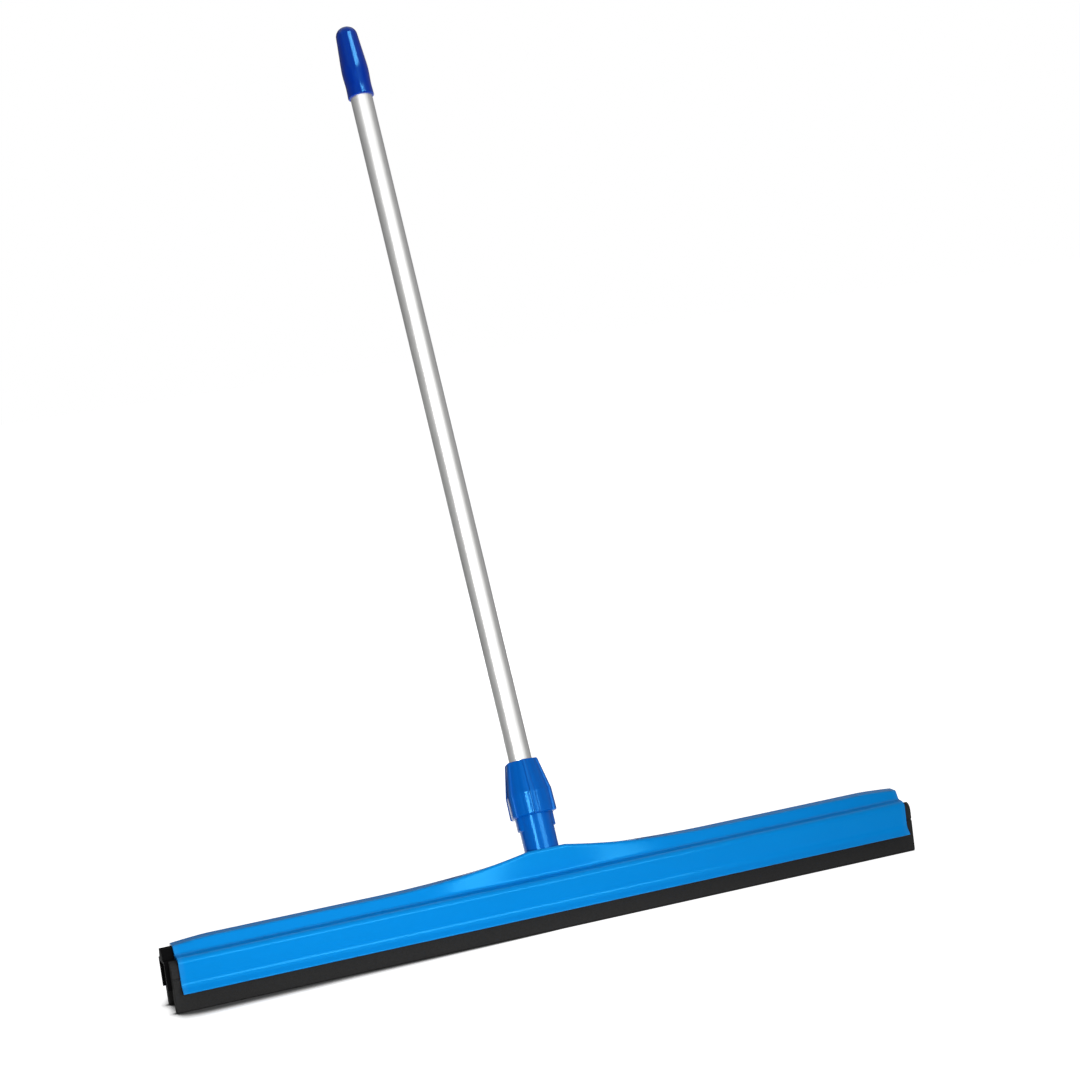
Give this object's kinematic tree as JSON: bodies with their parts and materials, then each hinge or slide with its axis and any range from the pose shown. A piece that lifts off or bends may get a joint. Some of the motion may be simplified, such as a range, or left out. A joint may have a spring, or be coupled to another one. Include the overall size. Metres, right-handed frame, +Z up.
{
  "type": "floor squeegee",
  "caption": "Floor squeegee with a moulded head, a slide-in foam-rubber blade cassette, a leaning neck with a ribbed clamping nut, an aluminium tube handle and a domed grip.",
  "frame": {"origin": "on the floor, midway along the blade and midway between its two lips", "axes": "+X along the blade, +Y to the back, the way the handle leans, +Z up"},
  "size_m": [0.754, 0.34, 0.8805],
  "materials": {
    "head_blue": "moulded azure plastic with a soft gloss",
    "neck_blue": "moulded royal blue plastic with a soft gloss",
    "grip_blue": "smooth royal blue plastic",
    "black_plastic": "plain black moulding",
    "foam_rubber": "fine-celled black foam rubber",
    "aluminium": "plain drawn tube",
    "steel": "zinc plated"
  },
  "bodies": {
    "head": {"head_shell": "head_blue", "neck_socket": "neck_blue", "neck_screw": "steel"},
    "cassette": {"blade_carrier": "black_plastic", "front_blade": "foam_rubber", "back_blade": "foam_rubber"},
    "clamp": {"clamp_sleeve": "black_plastic"},
    "nut": {"lock_nut": "neck_blue"},
    "handle": {"handle_tube": "aluminium", "tube_plug": "black_plastic", "hand_grip": "grip_blue"}
  },
  "joints": [
    {"name": "cassette_slide", "type": "slide", "parent": "head", "child": "cassette", "axis": [1, 0, 0], "range_m": [-0.75, 0.75]},
    {"name": "sleeve_rise", "type": "slide", "parent": "head", "child": "clamp", "axis": [0, 0.342, 0.9397], "range_m": [0, 0.008]},
    {"name": "nut_turn", "type": "hinge", "parent": "clamp", "child": "nut", "pos_m": [0, 0, 0.0479], "axis": [0, 0.342, 0.9397], "range_deg": [0, 720]},
    {"name": "handle_slide", "type": "slide", "parent": "head", "child": "handle", "axis": [0, 0.342, 0.9397], "range_m": [0, 0.1]}
  ],
  "couplings": [
    {"joint": "sleeve_rise", "follows": "nut_turn", "m_per_rad": 0.0006366}
  ]
}
